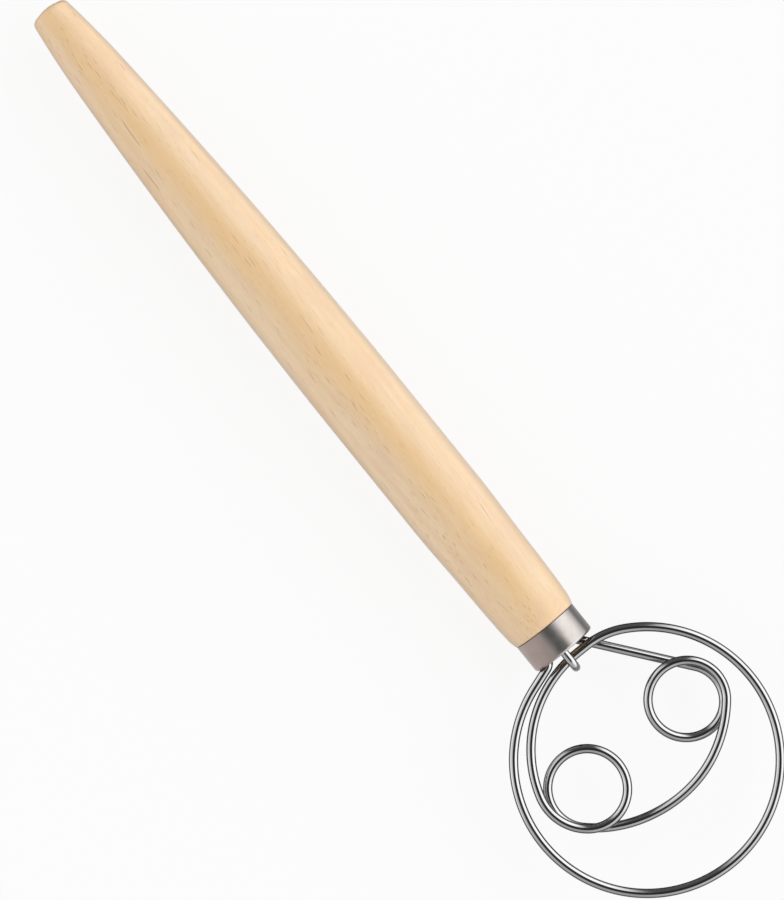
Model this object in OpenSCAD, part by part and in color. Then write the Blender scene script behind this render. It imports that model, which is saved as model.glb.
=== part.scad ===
// Dough whisk: a turned wooden handle, a pressed metal ferrule, one bent wire head
// and a small wire hook that holds the ring against the ferrule.
// It lies on a flat surface: X runs along the handle towards the head, Y across the
// ring, Z up. The wire is laid out flat on the handle's own axis, with X = 0 at the
// ferrule's mouth, and the whole tool is then moved so that it rests on Z = 0.

/* [Handle] */
// Length of wood that shows, from the tail to the ferrule
handle_len = 246.6; // [180:0.1:320]
// Diameter at the tail, where the rounded edge ends
tail_d = 13.2; // [10:0.1:17]
// Diameter of the upper grip
grip_d = 18; // [15:0.1:22]
// Diameter where the swell levels out
swell_d = 26; // [22:0.1:32]
// Largest diameter, along the straight belly
belly_d = 26.6; // [24:0.1:34]
// Diameter on the way from the belly down to the shoulder
fall_d = 25.6; // [24:0.1:30]
// Diameter of the shoulder, just before the ferrule
shoulder_d = 23.8; // [22:0.1:30]
// Place of the upper grip, as a share of the handle's length from the tail
grip_share = 0.105; // [0.05:0.005:0.3]
// Place where the swell levels out, as a share of the handle's length
swell_share = 0.507; // [0.4:0.001:0.6]
// Start of the straight belly, as a share of the handle's length
belly_start = 0.62; // [0.61:0.005:0.7]
// End of the straight belly, as a share of the handle's length
belly_end = 0.805; // [0.72:0.005:0.84]
// How far the straight belly stands proud of the curve on its two sides
belly_proud = 0.05; // [0.05:0.01:0.1]
// Place of the diameter between belly and shoulder, as a share of the length
fall_share = 0.88; // [0.86:0.005:0.92]
// Length of the shoulder's curve down to the ferrule
shoulder_len = 3.7; // [2:0.1:12]
// Height of the dome on the tail
tail_dome = 0.9; // [0.3:0.1:3]
// Radius of the rounded edge round the tail
tail_edge_r = 2; // [1:0.1:4]

/* [Ferrule] */
// Outer diameter of the ferrule
ferrule_d = 22; // [21.5:0.1:28]
// Length of the ferrule
ferrule_len = 10; // [9:0.1:20]
// Thickness of the ferrule's wall
ferrule_wall = 0.7; // [0.5:0.05:1]
// Radius of the curled lip at the mouth
lip_r = 0.9; // [0.8:0.05:1.2]
// How far the wood stops short of the mouth
recess = 4; // [3.5:0.1:5.5]
// How much the wood stands proud of the ferrule, all round
wood_proud = 0.15; // [0:0.05:0.5]

/* [Wire] */
// Diameter of the wire of the head
wire_d = 3; // [2:0.1:3]
// Radius of the two bends hidden in the ferrule's mouth
leg_bend_r = 4; // [3.6:0.1:4.6]
// Length of each leg inside the wood
leg_in_wood = 30; // [15:1:45]
// Distance of the ring's leg from the axis
ring_leg_y = 5.5; // [5:0.1:6.5]
// Distance of the straight leg from the axis
straight_leg_y = 4.2; // [3.4:0.1:4.2]
// How far inside the mouth the straight leg starts to bend
straight_leg_bend_at = 2.7; // [2.4:0.1:3.2]
// Clear space between the ring's leg and the ferrule's lip
lip_gap = 0.1; // [0.1:0.05:0.2]
// Clear space between two turns of the wire that cross
layer_gap = 0.45; // [0.4:0.05:1]

/* [Ring] */
// Radius of the outer ring, to the middle of the wire
ring_r = 41.6; // [37:0.1:50]
// Distance of the ring's centre to the right of the axis
ring_off = 1.5; // [0:0.1:3]
// Radius of the ring's last stretch, down to the hook
close_r = 26; // [20:0.5:30]
// Clear space between the ring and the ferrule's mouth, at the hook
hook_space = 1.6; // [1.6:0.05:2.5]
// How much closer than side by side the ring's circle and that stretch are laid
ring_tuck = 1.05; // [0.4:0.05:1.1]

/* [Eyes and arc] */
// Height above the axis at which the inner left curve starts
inner_start_y = 2.5; // [1.5:0.1:2.5]
// How much wider than the lower eye the short curve is that leads into it
lead_extra = 3.6; // [1:0.1:5]
// Angle round the lower eye at which the leading curve becomes the eye
lead_angle = -38; // [-50:1:-20]
// Radius of the lower eye
lower_eye_r = 12.4; // [10.3:0.1:14.9]
// Distance of the lower eye's centre from the ring's, towards the handle
lower_eye_back = 4.5; // [0:0.1:8]
// Clear space between the lower eye and the ring
lower_space = 6.2; // [5:0.1:9]
// How much tighter than the ring the big arc between the eyes is
arc_tighter = 0.6; // [0:0.1:3]
// Radius of the upper eye
upper_eye_r = 12.2; // [10.1:0.1:13.4]
// Distance of the upper eye's centre from the ring's, towards the handle
upper_eye_back = 6.8; // [3:0.1:8]
// Clear space between the upper eye and the ring
upper_space = 4.7; // [4:0.1:8]
// How much tighter the upper eye's last part is, which lies under its first
exit_tighter = 1; // [0:0.1:1.5]
// Angle round the upper eye at which its last part starts
exit_angle = -10; // [-30:1:10]

/* [Hook] */
// Diameter of the hook's wire
hook_d = 2.8; // [2:0.1:2.8]
// Clear space between the hook and the ring's wire, all round
hook_gap = 0.3; // [0.2:0.05:0.5]
// Distance of the hook to the right of the axis
hook_off = 0.5; // [0:0.1:1]
// Length of each hook leg inside the wood
hook_in_wood = 12; // [8:1:25]

/* [Fits] */
// Space left at the bottom of each hole
hole_bottom = 0.5; // [0.2:0.1:2]
// Space round a wire in its hole, on the diameter
hole_clearance = 0.1; // [0.05:0.05:0.2]
// Space between the ferrule and the wood under it, on the diameter
ferrule_clearance = 0.1; // [0.05:0.05:0.2]
// Space between the ferrule's rear edge and the wood's shoulder
joint_gap = 0.1; // [0.05:0.05:0.3]

/* [Hidden] */
round_fn = 96;
eps = 0.01;

wood_colour = [0.93, 0.80, 0.62];
ferrule_colour = [0.70, 0.69, 0.67];
wire_colour = [0.62, 0.62, 0.62];
hook_colour = [0.66, 0.66, 0.66];

// Handle, measured back from the mouth
wood_end_x = -ferrule_len;
tail_x = wood_end_x - handle_len;
tenon_x = -recess;
joint_d = ferrule_d + 2 * wood_proud;
tenon_d = ferrule_d - 2 * ferrule_wall - ferrule_clearance;
mouth_r = ferrule_d / 2 - lip_r;
hole_d = wire_d + hole_clearance;
hook_hole_d = hook_d + hole_clearance;

// The two layers of the wire, in front of and behind the handle's axis
front = (wire_d + layer_gap) / 2;
back = -front;

// Stretch under the hook, and the ring's circle a little less than one wire beside it
hook_x = hook_space + wire_d / 2;
ring_x = hook_x + ring_r - (wire_d - ring_tuck);

// The tool at rest: its own middle over the origin and its belly on Z = 0
head_x = ring_x + ring_r + wire_d / 2;
middle_x = (tail_x - tail_dome + head_x) / 2;
rest_shift = [-middle_x, ring_off, belly_d / 2];

// Unit vector at an angle, and the angle of a vector
function unit(a) = [cos(a), sin(a)];
function angle_of(v) = atan2(v[1], v[0]);

// Turned outline of the handle: diameters at distances from the tail, joined by a
// smooth curve. The straight belly, on which the tool lies, has eased edges.
belly_edge = 0.5;
stations = [
    [tail_edge_r, tail_d],
    [grip_share * handle_len, grip_d],
    [swell_share * handle_len, swell_d],
    [belly_start * handle_len - belly_edge, belly_d - 2 * belly_proud],
    [belly_start * handle_len, belly_d],
    [belly_end * handle_len, belly_d],
    [belly_end * handle_len + belly_edge, belly_d - 2 * belly_proud],
    [fall_share * handle_len, fall_d],
    [handle_len - shoulder_len, shoulder_d],
    [handle_len, joint_d]
];
last = len(stations) - 1;

function span(i) = stations[i + 1][0] - stations[i][0];
function slope_after(i) = (stations[i + 1][1] - stations[i][1]) / span(i);

// Slope at a station: the weighted harmonic mean of the slopes on its two sides, and
// none where they differ in sign, so the outline never swells past a station
function slope_at(i) =
    i == 0 ? 2 * slope_after(0) - slope_at(1)
    : i == last ? 2 * slope_after(last - 1) - slope_at(last - 1)
    : let(s0 = slope_after(i - 1), s1 = slope_after(i))
      let(w0 = span(i - 1) + 2 * span(i), w1 = 2 * span(i - 1) + span(i))
      s0 * s1 <= 0 ? 0
      : (w0 + w1) / (w0 / s0 + w1 / s1);

function hermite(p0, p1, m0, m1, h, t) =
    p0 * (2 * t^3 - 3 * t^2 + 1) + m0 * h * (t^3 - 2 * t^2 + t)
    + p1 * (3 * t^2 - 2 * t^3) + m1 * h * (t^3 - t^2);

// Chords of the outline: long on its flat stretches, yet within 0.03 mm of the curve,
// and only one along the straight belly, so that the tool lies on a plain cylinder,
// and one along each of its eased edges
longest_chord = 16;
fewest_chords = 4;
turned_outline = [
    for (i = [0 : last - 1])
        let(a = stations[i], b = stations[i + 1], h = span(i))
        let(n = a[1] == b[1] || h < belly_edge + eps ? 1 : max(fewest_chords, ceil(h / longest_chord)))
        for (k = [(i == 0 ? 0 : 1) : n])
            let(t = k / n)
            [hermite(a[1], b[1], slope_at(i), slope_at(i + 1), h, t) / 2, a[0] + h * t]
];

// Tail: a flat dome, and a rounded edge that runs into the turned outline
edge_steps = 6;
tail_r = tail_d / 2;
edge_centre = [tail_r - tail_edge_r, tail_edge_r];
tail_edge = [
    for (k = [0 : edge_steps - 1])
        let(a = -90 + 90 * k / edge_steps)
        edge_centre + tail_edge_r * unit(a)
];
tail_dome_outline = [
    for (k = [0 : 3])
        let(r = edge_centre[0] * k / 4)
        [r, -tail_dome * (1 - pow(r / edge_centre[0], 2))]
];

// One stretch of wire is [kind, centre or start, radius or end, first heading,
// last heading, first height, last height]. Headings are degrees from X, and grow
// anticlockwise. Arcs turn towards the higher heading, or clockwise when it falls.
ARC = 0;
LINE = 1;

// Circle that holds two smaller circles and touches both from inside
function holding_centre(c1, r1, c2, r2, r) =
    let(v = c2 - c1, d = norm(v), u = v / d, d1 = r - r1, d2 = r - r2)
    let(a = (d1 * d1 - d2 * d2 + d * d) / (2 * d))
    c1 + a * u + sqrt(d1 * d1 - a * a) * [-u[1], u[0]];

// Ring's leg: a straight run that touches the ring and passes the ferrule's lip at its
// gap, and the clockwise bend that joins this run to the leg in the wood
ring_centre = [ring_x, -ring_off];
lip_point = [0, -sqrt(mouth_r * mouth_r - front * front)];
lip_pass = wire_d / 2 + lip_gap;
ring_leg_heading =
    angle_of(ring_centre - lip_point)
    - asin((lip_pass + ring_r) / norm(ring_centre - lip_point));
ring_bend_y = -ring_leg_y - leg_bend_r;
ring_bend = [
    ((leg_bend_r - lip_pass) + (ring_bend_y - lip_point[1]) * cos(ring_leg_heading))
        / sin(ring_leg_heading),
    ring_bend_y
];

// Ring's last stretch: a tighter circle that touches the ring and runs straight
// down past the hook
close_y = -ring_off + sqrt(pow(ring_r - close_r, 2) - pow(hook_x + close_r - ring_x, 2));
close_centre = [hook_x + close_r, close_y];
close_heading = angle_of(close_centre - ring_centre) + 90;
hook_heading = 270;

// Inner left curve: touches the straight stretch under the hook and the leading curve
lower_eye = [ring_x - lower_eye_back, -ring_off - (ring_r - wire_d - lower_space - lower_eye_r)];
lead_r = lower_eye_r + lead_extra;
lead_centre = lower_eye + (lower_eye_r - lead_r) * unit(lead_angle);
lead_from = lead_centre - [hook_x, inner_start_y];
inner_r = (pow(lead_from[0], 2) + pow(lead_from[1], 2) - lead_r * lead_r)
    / (2 * (lead_from[0] - lead_r));
inner_centre = [hook_x + inner_r, inner_start_y];
inner_heading = 360 + angle_of(lead_centre - inner_centre) + 90;
eye_heading = 360 + lead_angle + 90;

// Big arc: holds both eyes
arc_r = ring_r - arc_tighter;
upper_eye = [ring_x - upper_eye_back, -ring_off + ring_r - wire_d - upper_space - upper_eye_r];
arc_centre = holding_centre(lower_eye, lower_eye_r, upper_eye, upper_eye_r, arc_r);
arc_heading = 720 + angle_of(lower_eye - arc_centre) + 90;
upper_heading = 720 + angle_of(upper_eye - arc_centre) + 90;

// Last part of the upper eye, and the straight leg that touches it
exit_r = upper_eye_r - exit_tighter;
exit_centre = upper_eye + (upper_eye_r - exit_r) * unit(exit_angle);
exit_heading = 1080 + exit_angle + 90;
straight_bend = [-straight_leg_bend_at, straight_leg_y + leg_bend_r];
straight_heading =
    1260 + angle_of(exit_centre - straight_bend)
    + asin((leg_bend_r + exit_r) / norm(exit_centre - straight_bend));
axis_heading = 1260;

// Where the wire changes layer, as turns of its heading
crossing_turn = 25;
lower_back_heading = arc_heading - 75;
rise_start = arc_heading + crossing_turn;
rise_end = upper_heading - crossing_turn;
upper_drop_heading = upper_heading + 95;

// End point of an arc, on the side of its centre that its turning sense gives
function on_arc(c, r, h, sense) = c + r * unit(h - 90 * sense);

leg_start = [tenon_x - leg_in_wood, -ring_leg_y];
leg_end = [tenon_x - leg_in_wood, straight_leg_y];

WIRE = [
    [LINE, leg_start, [ring_bend[0], -ring_leg_y], 0, 0, front, front],
    [ARC, ring_bend, leg_bend_r, 0, ring_leg_heading, front, front],
    [LINE, on_arc(ring_bend, leg_bend_r, ring_leg_heading, -1),
        on_arc(ring_centre, ring_r, ring_leg_heading, 1),
        ring_leg_heading, ring_leg_heading, front, front],
    [ARC, ring_centre, ring_r, ring_leg_heading, close_heading, front, front],
    [ARC, close_centre, close_r, close_heading, hook_heading, front, front],
    [LINE, [hook_x, close_y], [hook_x, inner_start_y], hook_heading, hook_heading, front, front],
    [ARC, inner_centre, inner_r, hook_heading, inner_heading, front, front],
    [ARC, lead_centre, lead_r, inner_heading, eye_heading, front, front],
    [ARC, lower_eye, lower_eye_r, eye_heading, lower_back_heading, front, back],
    [ARC, lower_eye, lower_eye_r, lower_back_heading, arc_heading, back, back],
    [ARC, arc_centre, arc_r, arc_heading, rise_start, back, back],
    [ARC, arc_centre, arc_r, rise_start, rise_end, back, front],
    [ARC, arc_centre, arc_r, rise_end, upper_heading, front, front],
    [ARC, upper_eye, upper_eye_r, upper_heading, upper_drop_heading, front, front],
    [ARC, upper_eye, upper_eye_r, upper_drop_heading, exit_heading, front, back],
    [ARC, exit_centre, exit_r, exit_heading, straight_heading, back, back],
    [LINE, on_arc(exit_centre, exit_r, straight_heading, 1),
        on_arc(straight_bend, leg_bend_r, straight_heading, -1),
        straight_heading, straight_heading, back, back],
    [ARC, straight_bend, leg_bend_r, straight_heading, axis_heading, back, back],
    [LINE, [-straight_leg_bend_at, straight_leg_y], leg_end, axis_heading, axis_heading, back, back]
];

// Steps along a stretch: chords stay within chord_error of the true arc
chord_error = 0.05;
function step_angle(r) = 2 * acos(1 - chord_error / r);
function steps(s) = s[0] == LINE ? 1 : ceil(abs(s[4] - s[3]) / step_angle(s[2]));
function stretch_len(s) =
    s[0] == LINE ? norm(s[2] - s[1]) : abs(s[4] - s[3]) * PI / 180 * s[2];

// A point of a stretch at share t: [place, heading, climb angle]
function stretch_point(s, t) =
    let(h = s[3] + (s[4] - s[3]) * t)
    let(sense = s[4] >= s[3] ? 1 : -1)
    let(p = s[0] == LINE ? s[1] + (s[2] - s[1]) * t : on_arc(s[1], s[2], h, sense))
    let(rise = s[6] - s[5])
    let(z = s[5] + rise * (1 - cos(180 * t)) / 2)
    let(climb = atan(rise * PI / 2 * sin(180 * t) / stretch_len(s)))
    [[p[0], p[1], z], h, climb];

// Rings of the tube: each stretch gives its steps but the last, which starts the next
route = [
    for (i = [0 : len(WIRE) - 1])
        let(s = WIRE[i], n = steps(s))
        for (k = [0 : n - (i == len(WIRE) - 1 ? 0 : 1)])
            stretch_point(s, k / n)
];

// Closed tube of round section along a route of [place, heading, climb] rings
module tube(rings, d, sides) {
    n = len(rings);
    points = [
        for (ring = rings)
            let(across = [-sin(ring[1]), cos(ring[1]), 0])
            let(up = [-cos(ring[1]) * sin(ring[2]), -sin(ring[1]) * sin(ring[2]), cos(ring[2])])
            for (k = [0 : sides - 1])
                let(a = 360 * k / sides)
                ring[0] + d / 2 * (cos(a) * across + sin(a) * up)
    ];
    walls = [
        for (i = [0 : n - 2])
            for (k = [0 : sides - 1])
                let(j = (k + 1) % sides, a = i * sides, b = a + sides)
                each [[a + k, b + k, b + j], [a + k, b + j, a + j]]
    ];
    first_cap = [for (k = [0 : sides - 1]) k];
    last_cap = [for (k = [sides - 1 : -1 : 0]) (n - 1) * sides + k];
    polyhedron(points, concat([first_cap], walls, [last_cap]), convexity = 10);
}

// Least clear space between parts of the wire that are well apart along it
apart = 14;
reach = 4 * wire_d;
clear_spaces = [
    for (i = [0 : len(route) - 1])
        for (j = [i + apart : 1 : len(route) - 1])
            let(gap = segment_gap(route[i][0], j))
            if (gap < reach) gap - wire_d
];
function segment_gap(p, j) =
    j + 1 >= len(route) ? norm(route[j][0] - p)
    : let(a = route[j][0], ab = route[j + 1][0] - a)
      let(t = max(0, min(1, (p - a) * ab / (ab * ab))))
      norm(a + t * ab - p);
echo(least_wire_gap = min(clear_spaces), rings = len(route));

wire_sides = 12;

// Moves a piece from the handle's own axis to where the tool lies
module at_rest() {
    translate(rest_shift)
        children();
}

// Cylinder that runs along X from x0 to x1
module along_x(x0, x1, d, y = 0, z = 0) {
    translate([x0, y, z])
        rotate([0, 90, 0])
            cylinder(h = x1 - x0, d = d, $fn = round_fn);
}

// Wooden handle with its tenon and the blind holes for the wire and the hook
module handle() {
    color(wood_colour)
        at_rest()
            difference() {
                union() {
                    translate([tail_x, 0, 0])
                        rotate([0, 90, 0])
                            rotate_extrude($fn = round_fn)
                                polygon(concat(tail_dome_outline, tail_edge, turned_outline,
                                    [[0, handle_len]]));
                    along_x(wood_end_x - eps, tenon_x, tenon_d);
                }
                along_x(leg_start[0] - hole_bottom, tenon_x + eps, hole_d, -ring_leg_y, front);
                along_x(leg_end[0] - hole_bottom, tenon_x + eps, hole_d, straight_leg_y, back);
                for (z = hook_leg_z)
                    along_x(hook_start_x - hole_bottom, tenon_x + eps, hook_hole_d, -hook_off, z);
            }
}

// Metal ferrule: a thin collar whose mouth curls in to a rounded lip
module ferrule() {
    outer_r = ferrule_d / 2;
    color(ferrule_colour)
        at_rest()
            translate([wood_end_x + joint_gap, 0, 0])
                rotate([0, 90, 0])
                    rotate_extrude($fn = round_fn)
                        union() {
                            translate([outer_r - ferrule_wall, 0])
                                square([ferrule_wall, ferrule_len - joint_gap - lip_r]);
                            translate([outer_r - lip_r, ferrule_len - joint_gap - lip_r])
                                intersection() {
                                    difference() {
                                        circle(r = lip_r, $fn = 48);
                                        circle(r = lip_r - ferrule_wall, $fn = 48);
                                    }
                                    square(lip_r);
                                }
                        }
}

// One unbroken wire: ring, inner curve, lower eye, big arc, upper eye, straight leg
module wire_head() {
    color(wire_colour)
        at_rest()
            tube(route, wire_d, wire_sides);
}

// Hook: a staple whose two legs pass in front of and behind the ring's wire
hook_bow_r = (wire_d + hook_d) / 2 + hook_gap;
hook_leg_z = [front - hook_bow_r, front + hook_bow_r];
hook_start_x = tenon_x - hook_in_wood;
module hook() {
    color(hook_colour)
        at_rest() {
            for (z = hook_leg_z)
                along_x(hook_start_x, hook_x, hook_d, -hook_off, z);
            translate([hook_x, -hook_off, front])
                rotate([90, 0, 0])
                    rotate([0, 0, -90])
                        rotate_extrude(angle = 180, $fn = round_fn)
                            translate([hook_bow_r, 0])
                                circle(d = hook_d, $fn = 32);
        }
}

handle();
ferrule();
wire_head();
hook();
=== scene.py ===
"""Looks of the dough whisk: a turned wooden handle, a pressed ferrule, one bent wire
head and its hook, lying flat and seen from straight above."""
import math

import bpy
import numpy as np
from mathutils import Matrix


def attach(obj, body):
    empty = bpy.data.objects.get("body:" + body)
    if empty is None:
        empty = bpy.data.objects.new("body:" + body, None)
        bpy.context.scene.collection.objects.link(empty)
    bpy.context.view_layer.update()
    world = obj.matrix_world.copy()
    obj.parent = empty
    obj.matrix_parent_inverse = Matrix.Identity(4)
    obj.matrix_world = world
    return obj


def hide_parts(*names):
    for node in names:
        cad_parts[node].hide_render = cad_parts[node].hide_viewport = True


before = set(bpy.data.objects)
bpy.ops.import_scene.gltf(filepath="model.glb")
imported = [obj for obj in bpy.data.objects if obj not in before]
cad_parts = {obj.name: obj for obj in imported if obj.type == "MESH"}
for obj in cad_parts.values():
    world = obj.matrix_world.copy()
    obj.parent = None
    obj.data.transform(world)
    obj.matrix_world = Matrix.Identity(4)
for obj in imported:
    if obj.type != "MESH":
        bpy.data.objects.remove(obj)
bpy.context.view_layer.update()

MM = 0.001

# Sizes in millimetres and angles in degrees, as in the part's source
HANDLE_LEN = 246.6
TAIL_D = 13.2
TAIL_DOME = 0.9
TAIL_EDGE_R = 2.0
GRIP_D = 18.0
GRIP_SHARE = 0.105
SWELL_D = 26.0
SWELL_SHARE = 0.507
BELLY_D = 26.6
BELLY_START = 0.62
BELLY_END = 0.805
FALL_D = 25.6
FALL_SHARE = 0.88
SHOULDER_D = 23.8
SHOULDER_LEN = 3.7
FERRULE_D = 22.0
FERRULE_LEN = 10.0
FERRULE_WALL = 0.7
LIP_R = 0.9
RECESS = 4.0
WOOD_PROUD = 0.15
JOINT_GAP = 0.1
FERRULE_CLEARANCE = 0.1
WIRE_D = 3.0
LAYER_GAP = 0.45
LEG_BEND_R = 4.0
LEG_IN_WOOD = 30.0
RING_LEG_Y = 5.5
STRAIGHT_LEG_Y = 4.2
STRAIGHT_LEG_BEND_AT = 2.7
LIP_GAP = 0.1
RING_R = 41.6
RING_OFF = 1.5
CLOSE_R = 26.0
HOOK_SPACE = 1.6
RING_TUCK = 1.05
INNER_START_Y = 2.5
LEAD_EXTRA = 3.6
LEAD_ANGLE = -38.0
LOWER_EYE_R = 12.4
LOWER_EYE_BACK = 4.5
LOWER_SPACE = 6.2
ARC_TIGHTER = 0.6
UPPER_EYE_R = 12.2
UPPER_EYE_BACK = 6.8
UPPER_SPACE = 4.7
EXIT_TIGHTER = 1.0
EXIT_ANGLE = -10.0
CROSSING_TURN = 25.0
LOWER_DROP_TURN = 75.0
UPPER_DROP_TURN = 95.0
HOOK_D = 2.8
HOOK_GAP = 0.3
HOOK_OFF = 0.5
HOOK_IN_WOOD = 12.0
HOLE_BOTTOM = 0.5
HOLE_CLEARANCE = 0.1

# Outline of the handle: distance from the tail and diameter
STATIONS = [
    (TAIL_EDGE_R, TAIL_D),
    (GRIP_SHARE * HANDLE_LEN, GRIP_D),
    (SWELL_SHARE * HANDLE_LEN, SWELL_D),
    (BELLY_START * HANDLE_LEN, BELLY_D),
    (BELLY_END * HANDLE_LEN, BELLY_D),
    (FALL_SHARE * HANDLE_LEN, FALL_D),
    (HANDLE_LEN - SHOULDER_LEN, SHOULDER_D),
    (HANDLE_LEN, FERRULE_D + 2 * WOOD_PROUD),
]

# Points round each piece, and the angle past which an edge is shaded sharp
HANDLE_SIDES = 144
FERRULE_SIDES = 160
WIRE_SIDES = 36
HOLE_SIDES = 40
SHARP_ANGLE = 35.0

# Places worked out from the sizes, with X = 0 at the ferrule's mouth
FRONT = (WIRE_D + LAYER_GAP) / 2
BACK = -FRONT
WOOD_END_X = -FERRULE_LEN
TAIL_X = WOOD_END_X - HANDLE_LEN
TENON_X = -RECESS
TENON_R = FERRULE_D / 2 - FERRULE_WALL - FERRULE_CLEARANCE / 2
HOOK_X = HOOK_SPACE + WIRE_D / 2
RING_X = HOOK_X + RING_R - (WIRE_D - RING_TUCK)
HEAD_X = RING_X + RING_R + WIRE_D / 2
REST_SHIFT = np.array([-(TAIL_X - TAIL_DOME + HEAD_X) / 2, RING_OFF, BELLY_D / 2])


def unit(a):
    """Unit vector at an angle in degrees, counted from X towards Y."""
    return np.array([math.cos(math.radians(a)), math.sin(math.radians(a))])


def angle_of(v):
    """Angle of a vector in degrees."""
    return math.degrees(math.atan2(v[1], v[0]))


# Meshes

def make_piece(name, points, faces, uv=None):
    """Smooth mesh object of the points, moved from the handle's own axis to where the
    tool lies. uv holds one pair for each corner of each face, in the faces' order."""
    mesh = bpy.data.meshes.new(name)
    mesh.from_pydata(((points + REST_SHIFT) * MM).tolist(), [], faces)
    if uv is not None:
        layer = mesh.uv_layers.new(name="along")
        layer.data.foreach_set("uv", np.asarray(uv, dtype=np.float32).ravel())
    mesh.polygons.foreach_set("use_smooth", np.ones(len(mesh.polygons), dtype=bool))
    mesh.set_sharp_from_angle(angle=math.radians(SHARP_ANGLE))
    mesh.update()
    piece = bpy.data.objects.new(name, mesh)
    bpy.context.scene.collection.objects.link(piece)
    return piece


def wrapped_quads(rows, sides):
    """Quads between each row of a grid and the next; a row's last point joins its
    first. Rows run along the piece and sides from Y to Z, so faces point outwards."""
    row = np.arange(rows - 1)[:, None] * sides
    a = np.arange(sides)[None, :]
    b = (a + 1) % sides
    return np.stack([row + a, row + b, row + sides + b, row + sides + a], -1).reshape(-1, 4)


def turned(name, along, radius, sides):
    """Solid turned about X: (u, v) goes to (along(u), radius(u) cos v, radius(u) sin v).
    The outline starts and ends on the axis, and each end is one point."""
    v = np.linspace(0, 2 * np.pi, sides, endpoint=False)
    x, r = along[1:-1], radius[1:-1]
    rows = len(x)
    points = np.stack([np.repeat(x, sides), np.outer(r, np.cos(v)).ravel(),
                       np.outer(r, np.sin(v)).ravel()], -1)
    points = np.concatenate([points, [[along[0], 0, 0], [along[-1], 0, 0]]])
    k = np.arange(sides)
    j = (k + 1) % sides
    first, last = rows * sides, rows * sides + 1
    top = (rows - 1) * sides
    start_fan = np.stack([np.full(sides, first), j, k], -1)
    end_fan = np.stack([top + k, top + j, np.full(sides, last)], -1)
    faces = wrapped_quads(rows, sides).tolist() + start_fan.tolist() + end_fan.tolist()
    return make_piece(name, points, faces)


def collar(name, along, radius, sides):
    """Thin wall turned about X from a closed outline, which runs forwards outside and
    back inside, by the same formula as a turned solid."""
    v = np.linspace(0, 2 * np.pi, sides, endpoint=False)
    points = np.stack([np.repeat(along, sides), np.outer(radius, np.cos(v)).ravel(),
                       np.outer(radius, np.sin(v)).ravel()], -1)
    rows = len(along)
    quads = wrapped_quads(rows + 1, sides) % (rows * sides)
    return make_piece(name, points, quads.tolist())


def tube(name, centres, side, up, diameter, sides):
    """Wire of round section: (u, v) goes to centre(u) + r (cos v side(u) + sin v up(u)).
    Both ends are flat with a small bevel. Its map gives millimetres along and turns
    round the wire."""
    bevel = 0.25
    r = diameter / 2
    ahead = np.cross(side, up)
    centres = np.concatenate([centres[:1], centres[:1] + bevel * ahead[:1], centres[1:-1],
                              centres[-1:] - bevel * ahead[-1:], centres[-1:]])
    side = np.concatenate([side[:1], side, side[-1:]])
    up = np.concatenate([up[:1], up, up[-1:]])
    radii = np.full(len(centres), r)
    radii[[0, -1]] = r - bevel
    v = np.linspace(0, 2 * np.pi, sides, endpoint=False)
    ring = np.cos(v)[None, :, None] * side[:, None] + np.sin(v)[None, :, None] * up[:, None]
    points = (centres[:, None] + radii[:, None, None] * ring).reshape(-1, 3)
    rows = len(centres)
    length = np.concatenate([[0], np.cumsum(np.linalg.norm(np.diff(centres, axis=0), axis=1))])
    turn = np.arange(sides) / sides
    u0, u1 = length[:-1, None], length[1:, None]
    t0, t1 = turn[None, :], turn[None, :] + 1 / sides
    corners = [(u0, t0), (u0, t1), (u1, t1), (u1, t0)]
    uv = np.stack([np.stack(np.broadcast_arrays(u, t), -1) for u, t in corners], 2)
    cap = np.stack([np.zeros(sides), turn], -1)
    uv = np.concatenate([uv.reshape(-1, 2), cap, cap + [length[-1], 0]])
    start = list(range(sides - 1, -1, -1))
    end = list(range((rows - 1) * sides, rows * sides))
    faces = wrapped_quads(rows, sides).tolist() + [start, end]
    return make_piece(name, points, faces, uv)


# Handle

def handle_radius(s):
    """Radius at distance s from the tail: cubic pieces through the stations. The slope
    at a station is the weighted harmonic mean of the slopes on its two sides."""
    at = np.array([p[0] for p in STATIONS])
    d = np.array([p[1] for p in STATIONS])
    h = np.diff(at)
    rate = np.diff(d) / h
    slope = np.zeros(len(at))
    w0, w1 = h[:-1] + 2 * h[1:], 2 * h[:-1] + h[1:]
    same = rate[:-1] * rate[1:] > 0
    left, right = np.where(same, rate[:-1], 1), np.where(same, rate[1:], 1)
    slope[1:-1] = np.where(same, (w0 + w1) / (w0 / left + w1 / right), 0)
    slope[0] = 2 * rate[0] - slope[1]
    slope[-1] = 2 * rate[-1] - slope[-2]
    i = np.clip(np.searchsorted(at, s, side="right") - 1, 0, len(h) - 1)
    t = (s - at[i]) / h[i]
    return (d[i] * (2 * t**3 - 3 * t**2 + 1) + slope[i] * h[i] * (t**3 - 2 * t**2 + t)
            + d[i + 1] * (3 * t**2 - 2 * t**3) + slope[i + 1] * h[i] * (t**3 - t**2)) / 2


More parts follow.
